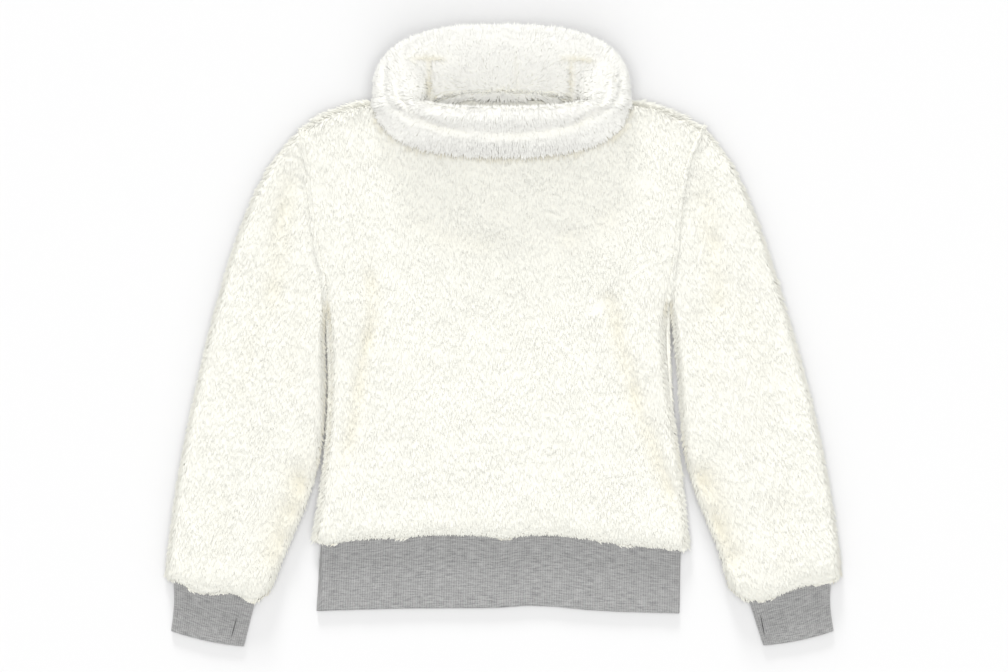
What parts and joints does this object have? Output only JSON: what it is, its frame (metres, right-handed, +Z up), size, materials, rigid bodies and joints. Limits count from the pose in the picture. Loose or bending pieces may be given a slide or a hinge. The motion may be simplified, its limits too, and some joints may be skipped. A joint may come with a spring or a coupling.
{
  "type": "pullover",
  "caption": "Plush pullover laid flat, with a wide turned-down collar, long set-in sleeves and rib knit hem and cuffs with thumb slits.",
  "frame": {"origin": "on the surface that the pullover lies on, below the middle of its overall width and length", "axes": "+X to the right of someone looking down on its front, +Y towards the collar, +Z up off the surface"},
  "size_m": [0.848, 0.7806, 0.0815],
  "materials": {
    "plush": "soft cream-white pile",
    "rib_knit": "matt heather-grey fine rib"
  },
  "bodies": {
    "root": {"front": "plush", "back": "plush", "sleeve_left": "plush", "sleeve_right": "plush", "collar": "plush", "hem_band": "rib_knit", "cuff_left": "rib_knit", "cuff_right": "rib_knit"}
  },
  "joints": []
}
